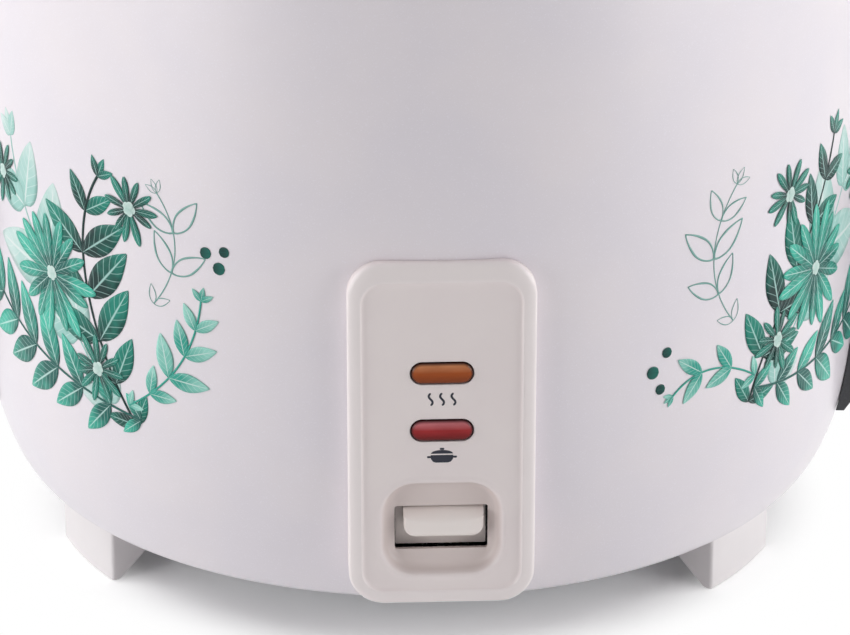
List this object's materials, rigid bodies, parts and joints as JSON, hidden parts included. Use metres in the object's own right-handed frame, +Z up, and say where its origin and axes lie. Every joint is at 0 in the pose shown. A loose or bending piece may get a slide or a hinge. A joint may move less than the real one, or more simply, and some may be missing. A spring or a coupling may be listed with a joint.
{
  "type": "rice cooker",
  "caption": "Drum-shaped electric rice cooker with lift-out pot, domed lid, side handles, three legs and a lever-operated thermostat switch.",
  "frame": {"origin": "on the floor, on the drum's axis, under the middle of the whole cooker", "axes": "+Z up, -Y towards the control panel at the front, +X to the right seen from the front"},
  "size_m": [0.3358, 0.28, 0.2782],
  "materials": {
    "pearl_paint": "pearl white enamel, smooth and glossy",
    "white_plastic": "moulded off-white polypropylene, satin",
    "black_plastic": "black phenolic, satin",
    "amber_lens": "clear amber polycarbonate",
    "red_lens": "clear red polycarbonate",
    "aluminium": "spun aluminium, satin",
    "steel": "bright steel",
    "brass": "bright brass",
    "ferrite": "sintered ferrite, dark grey",
    "clear_glass": "tempered clear glass",
    "silicone": "dark grey silicone",
    "phenolic": "brown phenolic"
  },
  "bodies": {
    "cooker_body": {"outer_shell": "pearl_paint", "bottom_plate": "steel", "inner_liner": "aluminium", "leg_front_left": "white_plastic", "leg_front_right": "white_plastic", "leg_rear": "white_plastic", "leg_screw_front_left": "steel", "leg_screw_front_right": "steel", "leg_screw_rear": "steel", "handle_right": "black_plastic", "handle_left": "black_plastic", "handle_screw_right_lower": "steel", "handle_screw_right_upper": "steel", "handle_screw_left_lower": "steel", "handle_screw_left_upper": "steel", "control_panel": "white_plastic", "panel_screw": "steel", "warm_lens": "amber_lens", "cook_lens": "red_lens", "lamp_holder": "white_plastic", "warm_lamp": "clear_glass", "cook_lamp": "clear_glass", "inlet_housing": "black_plastic", "inlet_pin_live": "brass", "inlet_pin_earth": "brass", "inlet_pin_neutral": "brass", "heating_plate": "aluminium", "plate_post_1": "steel", "plate_post_2": "steel", "plate_post_3": "steel", "heater_terminal_1": "brass", "heater_terminal_2": "brass", "sensor_guide": "steel", "sensor_spring": "steel", "lever_bracket": "steel", "lever_pin": "steel", "switch_block": "phenolic", "contact_leaf_lower": "brass", "contact_leaf_upper": "brass", "thermal_fuse": "phenolic"},
    "sensor": {"sensor_cap": "aluminium", "ferrite_disc": "ferrite", "release_spring": "steel"},
    "magnet_assembly": {"magnet": "ferrite", "magnet_rod": "steel"},
    "cook_lever": {"lever_arm": "steel", "lever_tab": "white_plastic"},
    "pot": {"inner_pot": "aluminium"},
    "lid": {"lid_glass": "clear_glass", "lid_rim": "steel", "lid_washer": "silicone", "lid_knob": "black_plastic", "knob_screw": "steel", "vent_grommet": "silicone"}
  },
  "joints": [
    {"name": "cook_lever_hinge", "type": "hinge", "parent": "cooker_body", "child": "cook_lever", "pos_m": [0, -0.083, 0.0454], "axis": [1, 0, 0], "range_deg": [0, 3.3]},
    {"name": "magnet_slide", "type": "slide", "parent": "cooker_body", "child": "magnet_assembly", "axis": [0, 0, 1], "range_m": [0, 0.0048], "deforming": ["release_spring"]},
    {"name": "sensor_slide", "type": "slide", "parent": "cooker_body", "child": "sensor", "axis": [0, 0, 1], "range_m": [-0.002, 0], "stiffness_N_per_m": 500, "springref_m": 0.004, "deforming": ["sensor_spring"]},
    {"name": "pot_lift", "type": "slide", "parent": "cooker_body", "child": "pot", "axis": [0, 0, 1], "range_m": [0, 0.2]},
    {"name": "lid_lift", "type": "slide", "parent": "pot", "child": "lid", "axis": [0, 0, 1], "range_m": [0, 0.15]}
  ],
  "couplings": [
    {"joint": "magnet_slide", "follows": "cook_lever_hinge", "m_per_rad": 0.083}
  ]
}
